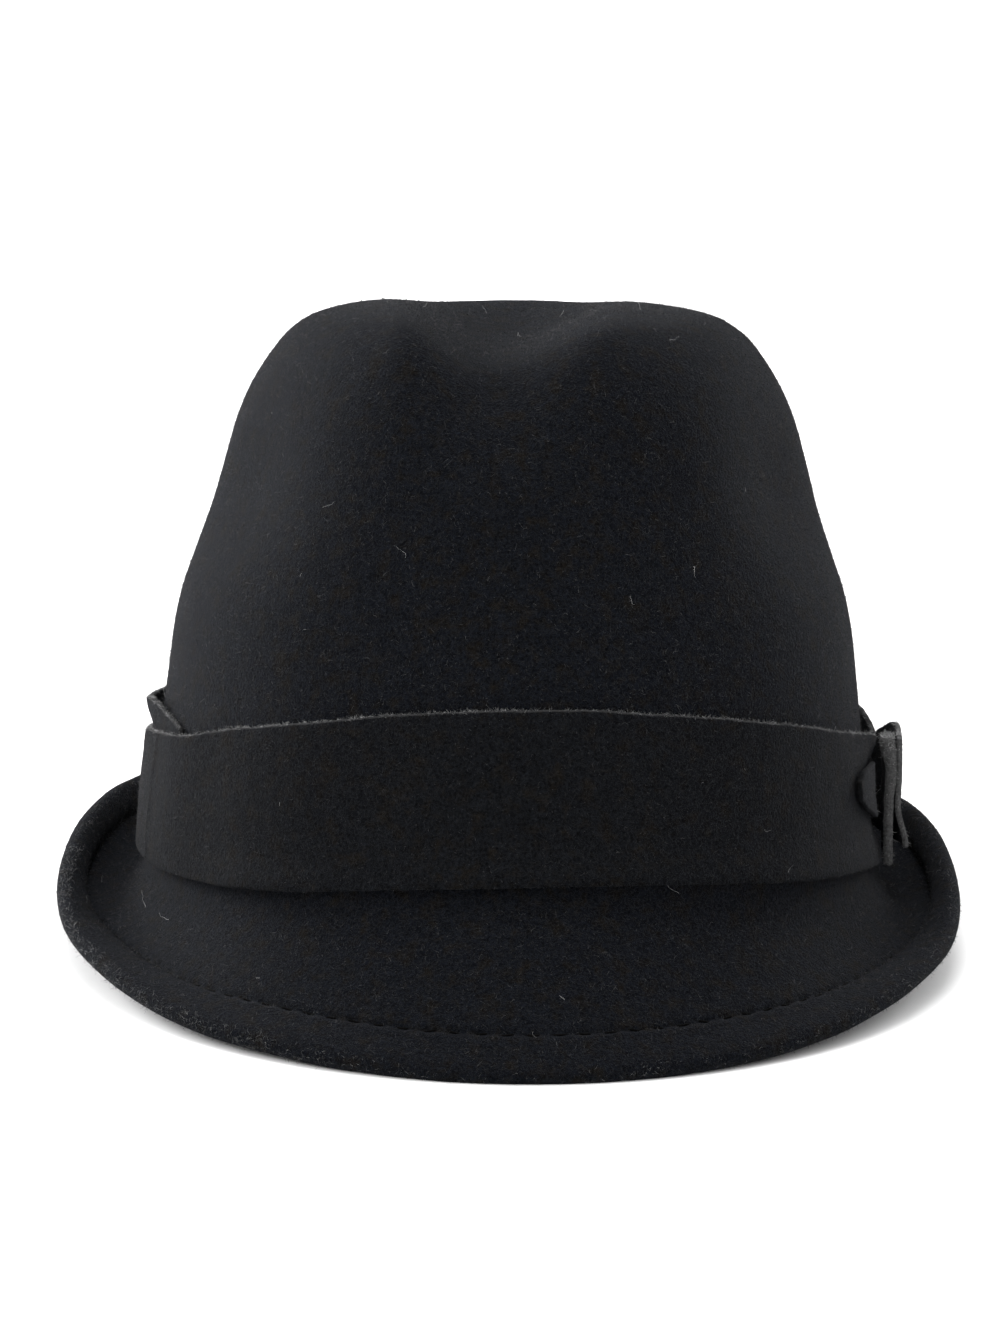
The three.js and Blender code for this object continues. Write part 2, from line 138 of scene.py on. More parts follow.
# The band's strips and the bow's pieces by azimuth: lower and upper edge, distance off the crown, and
# how much farther the lower and upper edges lean out
STRIP = "azimuth low high off low_out high_out"
FRONT_BAND = table(
    STRIP,
    (-97, -1.4, 24.2, 2.2, 0, 0),
    (-86, -1.8, 25.0, 2.2, 0, 0),
    (-74, -2.2, 26.8, 2.2, 0, 0),
    (-64, -2.6, 27.6, 2.2, 0, 0),
    (-56, -2.8, 28.6, 2.1, 0, 0),
    (-46, -3.0, 31.4, 0.6, 0.6, 0),
    (-38, -2.6, 33.6, CLEAR, 1.2, 0),
    (-28, -1.4, 36.0, CLEAR, 1.4, 0),
    (-14, 0.9, 39.4, CLEAR, 1.5, 0),
    (0, 2.2, 41.0, CLEAR, 1.5, 0),
    (12, 2.8, 41.0, CLEAR, 1.5, 0),
    (28, 2.0, 38.6, CLEAR, 1.5, 0),
    (44, 0.1, 35.2, CLEAR, 1.5, 0),
    (58, -0.8, 31.8, CLEAR, 1.4, 0),
    (68, -1.8, 29.8, CLEAR, 1.2, 0),
    (76, -2.6, 28.4, 0.4, 1.1, 1.0),
    (82, -3.2, 26.8, 0.5, 1.3, 2.0),
    (87, -3.2, 23.6, 0.5, 1.3, 0.8),
)
REAR_BAND = table(
    STRIP,
    (89, -2.8, 25.8, 0.6, 0, 2.0),
    (95, -2.8, 27.4, 0.5, 0, 2.0),
    (101, -2.8, 30.0, 0.4, 0, 1.2),
    (109, -2.8, 31.6, CLEAR, 0, 0.4),
    (125, -2.4, 33.4, CLEAR, 0, 0),
    (150, -2.0, 33.0, CLEAR, 0, 0),
    (180, -1.6, 32.6, CLEAR, 0, 0),
    (210, -2.0, 33.0, CLEAR, 0, 0),
    (235, -2.2, 33.2, CLEAR, 0, 0),
    (256, -1.0, 32.0, CLEAR, 0, 1.4),
    (270, 0.4, 32.2, CLEAR, 0, 2.7),
    (283, 2.0, 33.4, CLEAR, 0, 1.8),
    (293, 4.0, 31.8, CLEAR, 0, 0.4),
    (301, 8.0, 29.6, CLEAR, 0, 0),
)
STRAP_OFF = BAND_FELT + 2.8 * CLEAR
STRAP = table(
    STRIP,
    (62, 15.4, 19.6, STRAP_OFF, 0, 0),
    (65, 13.0, 21.4, STRAP_OFF, 0, 0),
    (71, 10.4, 21.8, STRAP_OFF, 0, 0),
    (78, 8.4, 21.4, STRAP_OFF, 0, 0),
    (86, 8.0, 19.8, STRAP_OFF, 0, 0),
    (94, 8.0, 19.8, STRAP_OFF, 0, 0),
    (104, 8.0, 20.6, STRAP_OFF, 0, 0),
    (114, 8.6, 21.4, STRAP_OFF, 0, 0),
    (119, 11.0, 19.8, STRAP_OFF, 0, 0),
    (121, 13.4, 17.6, STRAP_OFF, 0, 0),
)
TAB_FOLDED = 1.6 * BAND_FELT
TAB_FOOT = 8  # the leaves stand upright over the crown's wall at this height
FLARE = 0.7  # how much thicker the inner leaf is at its top, as a share
TAB_INNER = table(
    STRIP,
    (83.5, -4.2, 26.2, 4.0, 0.2, -1.7),
    (88, -3.4, 26.0, 4.0, 0.4, -1.3),
    (93, -2.4, 25.6, 3.9, 0.4, -0.8),
)
TAB_OUTER = table(
    STRIP,
    (83.5, 0.2, 26.0, 6.6, 2.1, 0),
    (88, 0.2, 26.6, 6.65, 1.4, 0),
    (92, 0.2, 27.8, 6.65, 0.5, 0),
    (97, 0.2, 27.6, 6.2, 0, 0),
    (102, 0.6, 25.4, 5.0, 0, 0),
    (107, 1.2, 22.8, 4.2, 0, 0),
)
# How far from their edges the strips lean and the inner leaf flares, and a slight upright fold of the band
LEAN_LOW = 10
LEAN_HIGH = 8
FLARE_REACH = 16
CREASE = {"azimuth": -67, "width": 0.8, "height": 0.35}

# Where the fuzz grows: the band hides the crown up to a height and the first rows of the brim, the tops of
# the bow's leaves are the fuzziest, and so is the brim's front edge on the wearer's right
BAND_COVERS = 23.5
COVERED_ROWS = 3
TUFT_FOOT = 23.5
TUFTED_SIDE = -40

# Fineness of the meshes
CROWN_SEGMENTS = 240
BRIM_SPLIT = 3  # brim segments to one of the crown
RING_STEP = 1.5
INSIDE_STEP = 3.6
WALL_FOOT_HEIGHT = 11.5
TURN_ROWS = 12
BESIDE_SEAM = np.array([4.5, 3.4, 2.5, 1.8, 1.2, 0.8, 0.45, 0.2, 0])
HEM_ROWS = np.array([0.02, 0.045, 0.08, 0.12, 0.17, 0.23, 0.31, 0.42, 0.56, 0.72, 0.88])
FOLD_ROWS = 8
UNDER_ROWS = 7
BAND_STEP = 1.0
BOW_STEP = 0.6

# Slow unevenness of the felt, as layers of height, size of the lumps and seed: none under the band's foot,
# and none where the brim leaves the crown
RIPPLES = ((0.24, 34.0, 3.1), (0.10, 11.0, 7.7))
RIPPLE_FADE = (2, 22)
BRIM_WAVES = ((0.5, 42.0, 5.3), (0.2, 15.0, 1.9))
WAVE_FADE = (1.04, 1.16)

# The strips' cut edges: how they wander, their bevel as a share of the felt, and the lumps of the face
MEAN_RADIUS = 93
EDGE_WANDER = ((0.22, 9.0), (0.154, 2.4))
UPPER_EDGE_SEED = 40.0
BEVEL = 0.3
CORNER = 0.3  # how far in from the sharp corner the bevel's middle lies, as a share of the bevel
STRIP_LUMPS = ((0.06, 1.5), (0.07, 5.0))
EDGE_LUMPS_MORE = 0.8

# Stitches that hold the turned edge, and how they pull the felt in
STITCH_PITCH = 5.8
THREAD_RADIUS = 0.24
THREAD_LENGTH = 3.7
THREAD_VARIES = (0.9, 1.1)
THREAD_ROWS = 9
THREAD_SIDES = 8
THREAD_SLANT = 0.25
THREAD_SUNK = 0.1
THREAD_DIP = 0.9  # how much deeper its ends lie than its middle
THREAD_BLUNT = 1.6  # how blunt its ends are, where 1 is an ellipse
THREAD_TIP = 0.94  # how far along that shape it is cut off
GROOVE = {"depth": 0.42, "swing": 0.22, "width": 0.75}
PUFF = {"height": 0.2, "swing": 0.11, "place": 1.9, "width": 1.2}

# Fibres
ROOT = 0.1  # how deep a fibre starts in the felt
CLUMPING = 2  # places tried for each fibre that is kept
CLUMPS = ((0.9, 17.0), (2.7, 29.0))  # size of the clumps and seed
CLUMP_SCATTER = 0.5
SHORTEST = 0.4  # of a fibre's full length
TIP = 0.6  # a fibre's width at its tip
WIDTH_VARIES = (0.7, 1.3)


def along(rows, key, x, column):
    """Value of a column at x, on a smooth curve through the table's rows."""
    k, y = rows[key], rows[column]
    x = np.asarray(x, float)
    slope = np.empty_like(y)
    slope[1:-1] = (y[2:] - y[:-2]) / (k[2:] - k[:-2])
    slope[0] = (y[1] - y[0]) / (k[1] - k[0])
    slope[-1] = (y[-1] - y[-2]) / (k[-1] - k[-2])
    i = np.clip(np.searchsorted(k, x) - 1, 0, len(k) - 2)
    h = k[i + 1] - k[i]
    t = np.clip((x - k[i]) / h, 0, 1)
    t2, t3 = t * t, t * t * t
    return (
        (2 * t3 - 3 * t2 + 1) * y[i]
        + (t3 - 2 * t2 + t) * h * slope[i]
        + (3 * t2 - 2 * t3) * y[i + 1]
        + (t3 - t2) * h * slope[i + 1]
    )


def smoothstep(x, low, high):
    t = np.clip((x - low) / (high - low), 0, 1)
    return t * t * (3 - 2 * t)


def unit(v):
    return v / np.maximum(np.linalg.norm(v, axis=-1, keepdims=True), 1e-9)


def folded(azimuth):
    """Degrees from the front, the same on both sides."""
    return np.abs((np.asarray(azimuth) + 180) % 360 - 180)


def brim_at(azimuth, column):
    return along(BRIM, "azimuth", folded(azimuth), column)


def oval_point(azimuth, side, front, back, z):
    """Point of an oval at an azimuth, where 0 is the front and 90 the wearer's left."""
    s, c = np.sin(np.radians(azimuth)), np.cos(np.radians(azimuth))
    half = np.where(c >= 0, front, back)
    r = (np.abs(s / side) ** OVAL + np.abs(c / half) ** OVAL) ** (-1 / OVAL)
    return np.stack([r * s, -r * c, z + 0 * r], -1)


def wall_point(azimuth, z):
    side, front, back = (along(WALL, "z", z, column) for column in ("side", "front", "back"))
    return oval_point(azimuth, side, front, back, z)


def stand_off(azimuth, z, distance):
    """Point at a distance out from the crown's wall."""
    p = wall_point(azimuth, z)
    r = np.hypot(p[..., 0], p[..., 1])
    p[..., :2] *= (1 + distance / r)[..., None]
    return p


def field(points, size, seed=0.0):
    """Smooth noise from about -1 to 1 at each point, with lumps of about that size."""
    flat = points.reshape(-1, 3) / size + seed
    return np.array([noise.noise(Vector(p)) for p in flat]).reshape(points.shape[:-1])


def ripple(points):
    """Slow unevenness of hand-blocked felt, in millimetres. It fades out under the band."""
    rise = smoothstep(points[..., 2], *RIPPLE_FADE)
    return rise * sum(height * field(points, size, seed) for height, size, seed in RIPPLES)


def ring_normals(rings):
    """Outward normals of a grid of rings that run from the top of the hat downwards."""
    around = np.roll(rings, -1, axis=1) - np.roll(rings, 1, axis=1)
    down = np.empty_like(rings)
    down[1:-1] = rings[2:] - rings[:-2]
    down[0] = rings[1] - rings[0]
    down[-1] = rings[-1] - rings[-2]
    return unit(np.cross(down, around))


def bump(share):
    """A round bump: 1 at a share of 0, and 0 from 1 on."""
    return 0.5 * (1 + np.cos(np.pi * np.minimum(1, np.abs(share))))


def cinched(azimuth, z):
    """How deep the bow draws the felt in."""
    aside = (azimuth - CINCH["azimuth"] + 180) % 360 - 180
    return CINCH["depth"] * bump(aside / CINCH["reach_azimuth"]) * bump((z - CINCH["z"]) / CINCH["reach_z"])


def pushed_in(points, azimuth):
    """How deep the felt is pushed in by the dent in the top, the pinches at the front and the bow."""
    y = np.clip(points[..., 1], DENT["y"][0], DENT["y"][-1])
    depth, middle, left, right = (along(DENT, "y", y, column) for column in ("depth", "x", "left", "right"))
    across = points[..., 0] - middle
    dent = depth * bump(np.maximum(-across / left, across / right)) * smoothstep(points[..., 2], *DENT_FADE)
    u = (folded(azimuth) - PINCH["azimuth"]) / PINCH["spread_azimuth"]
    v = (points[..., 2] - PINCH["z"]) / PINCH["spread_z"]
    return dent + PINCH["depth"] * np.exp(-u * u - v * v) + cinched(azimuth, points[..., 2])


def crown_rings(step):
    """The crown's outer face as rings from below its top to the foot of its wall, and its top point."""
    azimuth = 360 * np.arange(CROWN_SEGMENTS) / CROWN_SEGMENTS
    reach = np.hypot(np.diff(CROWN["side"]), np.diff(CROWN["z"]))
    rows = dict(CROWN, s=np.concatenate([[0], np.cumsum(reach)]))
    levels = np.linspace(rows["s"][-1], 0, round(rows["s"][-1] / step) + 1)[1:]
    rings = []
    for s in levels:
        z, side, front, back = (float(along(rows, "s", s, c)) for c in ("z", "side", "front", "back"))
        rings.append(oval_point(azimuth, side, front, back, z))
    foot = brim_at(azimuth, "corner") + FILLET
    count = max(3, round(WALL_FOOT_HEIGHT / step))
    for share in np.arange(1, count + 1) / count:
        rings.append(wall_point(azimuth, CROWN["z"][0] + (foot - CROWN["z"][0]) * share))
    plain = np.array(rings)
    top = np.array([0.0, 0.0, CROWN["z"][-1]])
    top[2] -= float(pushed_in(top, 0.0))
    shaped = plain - ring_normals(plain) * pushed_in(plain, azimuth[None, :])[..., None]
    return shaped + ring_normals(shaped) * ripple(shaped)[..., None], top


def quarter_turn(v):
    """Directions in the plane of a section, turned a quarter towards its upper side."""
    return np.stack([-v[..., 1], v[..., 0]], -1)


def bezier(points, t):
    """Points and tangents of one Bezier curve for each azimuth, in a row for each t."""
    t = np.asarray(t, float)[:, None, None]
    degree = len(points) - 1

    def blend(controls, order):
        shares = [math.comb(order, k) * (1 - t) ** (order - k) * t**k for k in range(order + 1)]
        return sum(share * control for share, control in zip(shares, controls))

    slopes = [degree * (b - a) for a, b in zip(points, points[1:])]
    return blend(points, degree), blend(slopes, degree - 1)


def spun(sections, azimuth):
    """Rows of radius and height at each azimuth as points around the hat."""
    s, c = np.sin(np.radians(azimuth)), np.cos(np.radians(azimuth))
    return np.stack([sections[..., 0] * s, -sections[..., 0] * c, sections[..., 1]], -1)


def seam_point(azimuth):
    """Radius and height of the seam."""
    return np.stack([brim_at(azimuth, "seam_r"), brim_at(azimuth, "seam_z")], -1)


# The way along the seam as an angle that turns once for each stitch, by azimuth
SEAM_AZIMUTH = np.linspace(0, 360, 3601)
seam_loop = spun(seam_point(SEAM_AZIMUTH), SEAM_AZIMUTH)
seam_run = np.append(0, np.cumsum(np.linalg.norm(np.diff(seam_loop, axis=0), axis=1)))
STITCHES = round(seam_run[-1] / STITCH_PITCH)
SEAM_TURNS = 2 * np.pi * STITCHES * seam_run / seam_run[-1]


def brim_sections(azimuth):
    """The brim in the upright plane through the hat's middle at each azimuth, as rows of radius and
    height: from the crown's foot over the top of the brim, round its edge and back underneath. Also the
    bottom of the groove that its stitches lie in, and the direction out of it."""
    corner = brim_at(azimuth, "corner")
    foot = wall_point(azimuth, corner + FILLET)
    wall = np.stack([np.hypot(foot[:, 0], foot[:, 1]), foot[:, 2]], -1)
    turn = np.stack([wall[:, 0] + TURN_OUT, corner], -1)
    seam = seam_point(azimuth)
    phase = np.interp(azimuth, SEAM_AZIMUTH, SEAM_TURNS)
    edge = np.stack([brim_at(azimuth, "edge_r"), brim_at(azimuth, "edge_z")], -1)
    reach = np.linalg.norm(seam - turn, axis=1, keepdims=True)
    lie = unit(unit(seam - turn) + unit(edge - seam))
    seam_up = quarter_turn(lie)
    half = HEM / 2
    outward = unit(edge - (seam - seam_up * half))
    up = quarter_turn(outward)
    centre = edge - half * outward
    rim = centre + half * up
    width = np.linalg.norm(rim - seam, axis=1, keepdims=True)

    # The top, coarse over the turn and fine beside the seam, and the felt under it
    beside = 1 - BESIDE_SEAM / (3 * LEVEL_SHARE * reach.mean())
    rows = np.concatenate([np.linspace(0, beside[0], TURN_ROWS + 1)[1:-1], beside])
    top, tangent = bezier((wall, turn, seam - LEVEL_SHARE * reach * lie, seam), rows)
    top_up = quarter_turn(unit(tangent))
    under = (top - FELT * top_up)[: TURN_ROWS : 3]
    swell = rim - 0.5 * width * outward + HEM_SWELL * up
    hem, tangent = bezier((seam, swell, rim), HEM_ROWS)
    hem_up = quarter_turn(unit(tangent))

    # The thread pulls a dimple for each stitch, and the turned edge puffs up beside it
    pull = (GROOVE["depth"] + GROOVE["swing"] * np.cos(phase))[None, :]
    puff = (PUFF["height"] - PUFF["swing"] * np.cos(phase))[None, :]
    for part, part_up in ((top, top_up), (hem, hem_up)):
        distance = ((part - seam) * lie).sum(-1)
        sunk = puff * np.exp(-(((distance - PUFF["place"]) / PUFF["width"]) ** 2))
        sunk -= pull * np.exp(-((distance / GROOVE["width"]) ** 2))
        part += part_up * sunk[..., None]

    angles = np.radians(np.linspace(0, 180, FOLD_ROWS + 2)[1:-1])[:, None, None]
    fold = centre + half * (up * np.cos(angles) + outward * np.sin(angles))
    lap = seam - HEM_LAP * lie
    heel = centre - half * up
    middle = 0.5 * (seam + edge) - HEM * up
    back, _ = bezier((heel, middle, lap - HEM * seam_up), np.linspace(0, 1, UNDER_ROWS))
    lap_rows = (lap - FELT * seam_up)[None]
    sections = np.concatenate([top, hem, fold, back, lap_rows, under[::-1]])
    return sections, seam - pull[0][:, None] * seam_up, seam_up


def ring_faces(first, second, count, split=1):
    """Faces between a ring of points and the next one, which has split times as many."""
    i = np.arange(count)
    j = (i + 1) % count
    if split == 1:
        return np.stack([first + i, second + i, second + j, first + j], -1).tolist()
    faces = []
    for a, b in zip(first + i, first + j):
        fine = [second + ((a - first) * split + k) % (count * split) for k in range(split + 1)]
        faces += [[a, fine[k], fine[k + 1]] for k in range(split - 1)]
        faces.append([a, fine[-2], fine[-1], b])
    return faces


def body_skin():
    """The felt body as one closed skin: its points, and the faces of the crown's outer face, of the brim
    round its edge and of the inner face."""
    outer, top = crown_rings(RING_STEP)
    coarse, _ = crown_rings(INSIDE_STEP)
    inner = (coarse - FELT * ring_normals(coarse))[::-1]
    fine_count = CROWN_SEGMENTS * BRIM_SPLIT
    azimuth = 360 * np.arange(fine_count) / fine_count
    sections, _, _ = brim_sections(azimuth)
    brim = spun(sections, azimuth)
    brim[..., 2] += brim_wave(brim)
    points = np.concatenate([part.reshape(-1, 3) for part in (outer, brim, inner)])
    brim_start, inner_start = outer[..., 0].size, outer[..., 0].size + brim[..., 0].size
    inner_end = len(points)
    crown_faces, brim_faces, inner_faces = [], [], []
    for k in range(len(outer) - 1):
        crown_faces += ring_faces(k * CROWN_SEGMENTS, (k + 1) * CROWN_SEGMENTS, CROWN_SEGMENTS)
    crown_faces += ring_faces(brim_start - CROWN_SEGMENTS, brim_start, CROWN_SEGMENTS, BRIM_SPLIT)
    for k in range(len(brim) - 1):
        brim_faces += ring_faces(brim_start + k * fine_count, brim_start + (k + 1) * fine_count, fine_count)
    joint = ring_faces(inner_start, inner_start - fine_count, CROWN_SEGMENTS, BRIM_SPLIT)
    inner_faces += [face[::-1] for face in joint]
    for start in range(inner_start, inner_end - CROWN_SEGMENTS, CROWN_SEGMENTS):
        inner_faces += ring_faces(start, start + CROWN_SEGMENTS, CROWN_SEGMENTS)
    for i in range(CROWN_SEGMENTS):
        j = (i + 1) % CROWN_SEGMENTS
        crown_faces.append([inner_end, i, j])
        last = inner_end - CROWN_SEGMENTS
        inner_faces.append([inner_end + 1, last + j, last + i])
    points = np.concatenate([points, top[None], top[None] - [[0, 0, FELT]]])
    return points, crown_faces, brim_faces, inner_faces


def brim_wave(points):
    """Slow rise and fall of the brim, in millimetres, from nothing near the crown's foot."""
    flat = points * [1, 1, 0]
    out = np.hypot(points[..., 0] / CROWN["side"][0], points[..., 1] / CROWN["front"][0])
    waves = sum(height * field(flat, size, seed) for height, size, seed in BRIM_WAVES)
    return smoothstep(out, *WAVE_FADE) * waves


def strip_skin(rows, thickness, flare, step, foot, seed):
    """A strip of felt standing on edge around the crown, with cut edges that are a little uneven and soft.
    It follows the crown's slope, or stands upright over one height of the crown, and may be thicker at
    the top. Also, for each point, whether it lies on a frayed edge."""
    first, last = rows["azimuth"][0], rows["azimuth"][-1]
    columns = max(8, round(math.radians(last - first) * MEAN_RADIUS / step))
    azimuth = np.linspace(first, last, columns + 1)
    names = ("low", "high", "off", "low_out", "high_out")
    low, high, off, low_out, high_out = (along(rows, "azimuth", azimuth, name) for name in names)
    place = np.stack([np.radians(azimuth) * MEAN_RADIUS, 0 * azimuth, 0 * azimuth + seed], -1)
    low = low + sum(height * field(place, size) for height, size in EDGE_WANDER)
    high = high + sum(height * field(place, size, UPPER_EDGE_SEED) for height, size in EDGE_WANDER)
    bevel = BEVEL * thickness
    share = np.linspace(0, 1, max(6, round((high - low).max() / step)) + 1)
    face = low + bevel + np.outer(share, high - low - 2 * bevel)
    turn_in = CORNER * BEVEL
    cut = [(1 - turn_in, CORNER), (1 - BEVEL, 0), (0.5, 0), (BEVEL, 0), (turn_in, CORNER)]
    # Rows of height, place in the felt's thickness, and whether it is a frayed edge: the leaves' feet are
    # frayed and those of the other strips, which lie against the felt under them, are not
    frayed_foot = float(foot is not None)
    section = [(z, 1.0, 0.0) for z in face]
    section += [(high - drop * bevel, layer, 1.0) for layer, drop in cut]
    section += [(z, 0.0, 0.0) for z in face[::-1]]
    section += [(low + drop * bevel, layer, frayed_foot) for layer, drop in cut[::-1]]
    grid = []
    for z, layer, _ in section:
        lean = low_out * (1 - smoothstep(z, low, low + LEAN_LOW))
        lean = lean + high_out * smoothstep(z, high - LEAN_HIGH, high)
        if foot is None:
            height, lean = z, lean - cinched(azimuth, z)
        else:
            height = 0 * z + foot
        thick = thickness * (1 + flare * smoothstep(z, high - FLARE_REACH, high))
        crease = CREASE["height"] * np.exp(-(((azimuth - CREASE["azimuth"]) / CREASE["width"]) ** 2))
        p = stand_off(azimuth, height, off + layer * thick + lean + crease)
        p[:, 2] = z
        grid.append(p)
    grid = np.array(grid)
    on_edge = np.array([edge for _, _, edge in section])[:, None] + 0 * grid[..., 0]
    on_edge[:, [0, -1]] = 1.0
    radial = unit(grid * [1, 1, 0])
    lumps = sum(height * field(grid, size, seed) for height, size in STRIP_LUMPS)
    grid += radial * (ripple(grid) + (1 + EDGE_LUMPS_MORE * on_edge) * lumps)[..., None]
    count, across = grid.shape[:2]
    index = np.arange(count * across).reshape(count, across)
    after = np.roll(index, -1, axis=0)
    faces = np.stack([index[:, :-1], index[:, 1:], after[:, 1:], after[:, :-1]], -1).reshape(-1, 4).tolist()
    half = count // 2
    from_foot = np.roll(np.arange(count), len(cut) // 2 + 1)
    for column, turn in ((0, 1), (across - 1, -1)):
        ring = index[from_foot, column].tolist()
        faces.append([ring[0], ring[1], ring[-1]][::turn])
        faces.append([ring[half - 1], ring[half], ring[half + 1]][::turn])
        faces += [[ring[k], ring[k + 1], ring[-k - 1], ring[-k]][::turn] for k in range(1, half - 1)]
    return grid.reshape(-1, 3), faces, on_edge.reshape(-1)


def tubes(paths, radii, sides, rng):
    """Closed tubes along paths that all have as many points, each ending in a point."""
    count, rows = paths.shape[:2]
    ahead = unit(np.gradient(paths, axis=1))
    side = unit(np.cross(ahead, unit(rng.normal(size=(count, 1, 3)))))
    up = np.cross(ahead, side)
    angle = 2 * np.pi * np.arange(sides)[:, None] / sides
    ring = side[:, :, None] * np.cos(angle) + up[:, :, None] * np.sin(angle)
    skin = paths[:, :-1, None] + radii[:, :-1, None, None] * ring[:, :-1]
    points = np.concatenate([skin.reshape(count, -1, 3), paths[:, -1:]], axis=1)
    i = np.arange(sides)
    j = (i + 1) % sides
    start = (np.arange(count) * points.shape[1])[:, None, None]
    last = (rows - 2) * sides
    faces = (i[::-1][None] + start).reshape(-1, sides).tolist()
    faces += (np.stack([last + i, last + j, 0 * i + last + sides], -1) + start).reshape(-1, 3).tolist()
    for low in range(0, last, sides):
        quads = np.stack([low + i, low + j, low + sides + j, low + sides + i], -1)
        faces += (quads + start).reshape(-1, 4).tolist()
    return points.reshape(-1, 3), faces


def scatter(points, faces, count, rng):
    """Places in clumps all over the four-sided ones of these faces, with the normals there."""
    corners = points[np.array([face for face in faces if len(face) == 4])]
    normal = np.cross(corners[:, 2] - corners[:, 0], corners[:, 3] - corners[:, 1])
    area = np.linalg.norm(normal, axis=1)
    pick = rng.choice(len(corners), CLUMPING * count, p=area / area.sum())
    u, v = rng.random((2, len(pick), 1))
    a, b, c, d = np.moveaxis(corners[pick], 1, 0)
    place = (a * (1 - u) + b * u) * (1 - v) + (d * (1 - u) + c * u) * v
    rank = sum(field(place, size, seed) for size, seed in CLUMPS)
    kept = np.argsort(rank + CLUMP_SCATTER * rng.normal(size=len(pick)))[-count:]
    return place[kept], unit(normal[pick[kept]])


def hairs(place, normal, length, lift, bend, rows, rng):
    """Paths of fibres that leave the felt in any direction, lifted off it at most that much."""
    count = len(place)
    along_felt = unit(np.cross(normal, rng.normal(size=(count, 3))))
    way = unit(along_felt + lift * rng.random((count, 1)) ** 2 * normal)
    step = length * rng.uniform(SHORTEST, 1, (count, 1)) / (rows - 1)
    path = [place - ROOT * normal]
    for _ in range(rows - 1):
        path.append(path[-1] + step * way)
        way = unit(way + bend * rng.normal(size=(count, 3)))
    return np.stack(path, 1)


def fibres(paths, width, rng):
    """Tapering fibres along the paths, three-sided."""
    taper = np.linspace(1, TIP, paths.shape[1])
    radii = 0.5 * width * rng.uniform(*WIDTH_VARIES, (len(paths), 1)) * taper
    return tubes(paths, radii, 3, rng)


def stitches(rng):
    """The threads in the groove of the brim's seam, one for each stitch, with their ends in the felt."""
    middle = 2 * np.pi * np.arange(STITCHES)[:, None]
    reach = 2 * np.pi * (THREAD_LENGTH / STITCH_PITCH) * rng.uniform(*THREAD_VARIES, (STITCHES, 1))
    share = np.linspace(-1, 1, THREAD_ROWS)
    turn = (middle + 0.5 * reach * share) % SEAM_TURNS[-1]
    azimuth = np.interp(turn.ravel(), SEAM_TURNS, SEAM_AZIMUTH)
    _, groove, up = brim_sections(azimuth)
    rise = THREAD_RADIUS - THREAD_SUNK - THREAD_DIP * np.abs(share) ** 4 + 0 * turn
    path = spun(groove + up * rise.reshape(-1, 1), azimuth)
    path[:, 2] += brim_wave(path)
    path = path.reshape(STITCHES, THREAD_ROWS, 3)
    slant = THREAD_SLANT * rng.normal(size=(STITCHES, 1))
    path[..., 2] += slant * share
    round_ends = np.minimum(1, THREAD_BLUNT * np.sqrt(1 - (THREAD_TIP * share) ** 2)) + 0 * turn
    return tubes(path, THREAD_RADIUS * round_ends, THREAD_SIDES, rng)


# The hat leans back on the floor, where its lowest felt is pressed flat
LEAN = np.array(Matrix.Rotation(-REST_TILT, 3, "X"))
body_low, body_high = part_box("felt_body")


def leant(points):
    return points @ LEAN.T


def in_place(points):
    """Points from the hat's upright frame in millimetres, on the floor in metres."""
    out = (leant(points) + rest_shift) * MM
    out[:, 2] = np.maximum(out[:, 2], 0)
    return out


def make(name, points, faces, material, stands_for=None, slot="body_felt", edge=None):
    """A piece of the hat from points in its upright frame."""
    mesh = bpy.data.meshes.new(name)
    mesh.from_pydata(in_place(points).tolist(), [], faces)
    mesh.polygons.foreach_set("use_smooth", np.ones(len(faces), bool))
    if edge is not None:
        mesh.attributes.new("edge", "FLOAT", "POINT").data.foreach_set("value", edge)
    mesh.materials.append(material)
    mesh.update()
    piece = bpy.data.objects.new(name, mesh)
    bpy.context.scene.collection.objects.link(piece)
    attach(piece, "root")
    if stands_for:
        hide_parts(stands_for)
    return piece


def shader_tools(name):
    """A new material, a function that adds a node to it, and its surface shader."""
    material = bpy.data.materials.new(name)
    material.use_nodes = True
    tree = material.node_tree
    surface = next(n for n in tree.nodes if n.type == "BSDF_PRINCIPLED")

    def link(source, socket):
        if isinstance(source, bpy.types.NodeSocket):
            tree.links.new(source, socket)
        else:
            socket.default_value = source

    def add(kind, inputs, output=0, **settings):
        new = tree.nodes.new("ShaderNode" + kind)
        for key, value in settings.items():
            setattr(new, key, value)
        for key, value in inputs.items():
            link(value, new.inputs[key])
        return new.outputs[output]

    def set_surface(**inputs):
        for key, value in inputs.items():
            link(value, surface.inputs[key.replace("_", " ")])

    return material, add, set_surface


def math_node(add, operation, a, b=0.0, c=0.0, clamp=False):
    return add("Math", {0: a, 1: b, 2: c}, operation=operation, use_clamp=clamp)


def noise_node(add, place, scale, detail=2.0, rough=0.5, twist=0.0):
    inputs = {"Vector": place, "Scale": scale, "Detail": detail, "Roughness": rough, "Distortion": twist}
    return add("TexNoise", inputs)


def threads_node(add, place, scale, width):
    """Thin winding lines, as of single fibres that lie on the felt: 1 on a line and 0 off it."""
    wander = noise_node(add, place, scale, 1.0, 0.5, 0.8)
    off = math_node(add, "ABSOLUTE", math_node(add, "SUBTRACT", wander, 0.5))
    ramp = {"Value": off, "From Min": 0.0, "From Max": width, "To Min": 1.0, "To Max": 0.0}
    return add("MapRange", ramp, interpolation_type="SMOOTHSTEP")


def spread(add, value, low, high, out_low=0.0, out_high=1.0):
    """The values between two limits, spread over other limits."""
    limits = {"From Min": low, "From Max": high, "To Min": out_low, "To Max": out_high}
    return add("MapRange", {"Value": value, **limits})


